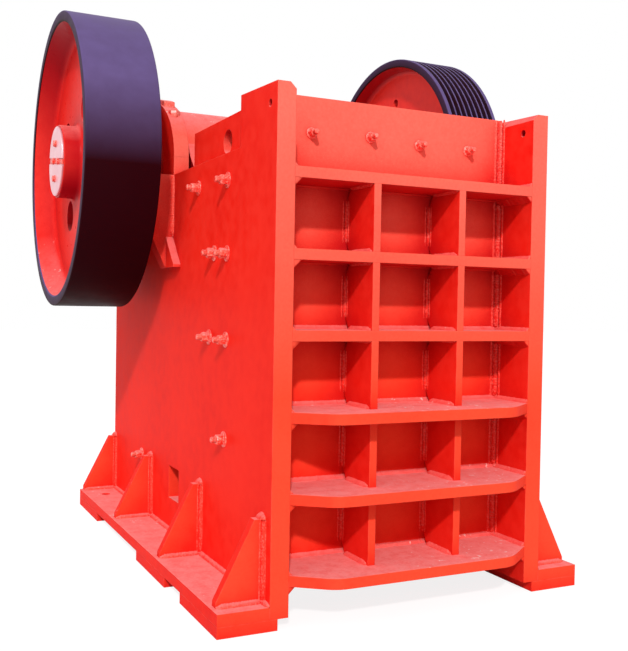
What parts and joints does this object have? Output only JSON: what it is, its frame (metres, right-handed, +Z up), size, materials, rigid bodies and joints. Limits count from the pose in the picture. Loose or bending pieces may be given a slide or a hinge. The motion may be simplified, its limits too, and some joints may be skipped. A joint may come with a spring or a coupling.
{
  "type": "jaw crusher",
  "caption": "Single-toggle jaw crusher: ribbed plate frame on base flanges, toothed jaws, eccentric shaft with a flywheel on one end and a grooved belt pulley on the other.",
  "frame": {"origin": "centre of the bounding box at ground level, under the foot pads", "axes": "+Z up; -Y towards the ribbed front wall; -X towards the flywheel, +X towards the belt pulley"},
  "size_m": [2.618, 3.031, 3.112],
  "materials": {
    "red_paint": "bright red gloss paint, dusty on level faces",
    "wheel_paint": "black rims with red inside faces",
    "jaw_steel": "bare manganese steel castings",
    "machined_steel": "turned and oiled",
    "dark_steel": "dark scale"
  },
  "bodies": {
    "frame": {"side_wall_left": "red_paint", "side_wall_right": "red_paint", "hopper_plate_left": "red_paint", "hopper_plate_right": "red_paint", "base_flange_left": "red_paint", "base_flange_right": "red_paint", "foot_pads_left": "red_paint", "foot_pads_right": "red_paint", "base_gussets_left": "red_paint", "base_gussets_right": "red_paint", "front_wall": "red_paint", "front_rib_1": "red_paint", "front_rib_2": "red_paint", "front_rib_3": "red_paint", "front_rib_4": "red_paint", "front_rib_5": "red_paint", "front_rib_6": "red_paint", "front_stiffeners_left": "red_paint", "front_stiffeners_right": "red_paint", "rear_wall": "red_paint", "rear_ribs": "red_paint", "rear_stiffeners": "red_paint", "bearing_housing_left": "red_paint", "bearing_housing_right": "red_paint", "bearing_cap_left": "red_paint", "bearing_cap_right": "red_paint", "bearing_cover_left": "red_paint", "bearing_cover_right": "red_paint", "bearing_brackets_left": "red_paint", "bearing_brackets_right": "red_paint", "fixed_jaw_plate": "jaw_steel", "fixed_jaw_clamp": "red_paint", "jaw_rest_bar": "red_paint", "cheek_plate_left": "jaw_steel", "cheek_plate_right": "jaw_steel", "toggle_seat_rear": "red_paint", "toggle_plate": "dark_steel", "tension_rod": "machined_steel", "tension_spring": "dark_steel"},
    "drive": {"eccentric_shaft": "machined_steel", "flywheel": "wheel_paint", "belt_pulley": "wheel_paint", "shaft_end_plate_left": "machined_steel", "shaft_end_plate_right": "machined_steel"},
    "swing_jaw": {"swing_jaw": "red_paint", "swing_jaw_plate": "jaw_steel", "swing_jaw_clamp": "red_paint", "toggle_seat_front": "dark_steel"}
  },
  "joints": [
    {"name": "shaft_spin", "type": "hinge", "parent": "frame", "child": "drive", "pos_m": [-0.022, 0.6355, 2.232], "axis": [1, 0, 0], "continuous": true},
    {"name": "jaw_swing", "type": "hinge", "parent": "drive", "child": "swing_jaw", "pos_m": [-0.022, 0.6355, 2.212], "axis": [1, 0, 0], "continuous": true}
  ],
  "couplings": [
    {"joint": "jaw_swing", "follows": "shaft_spin", "ratio": -1}
  ]
}
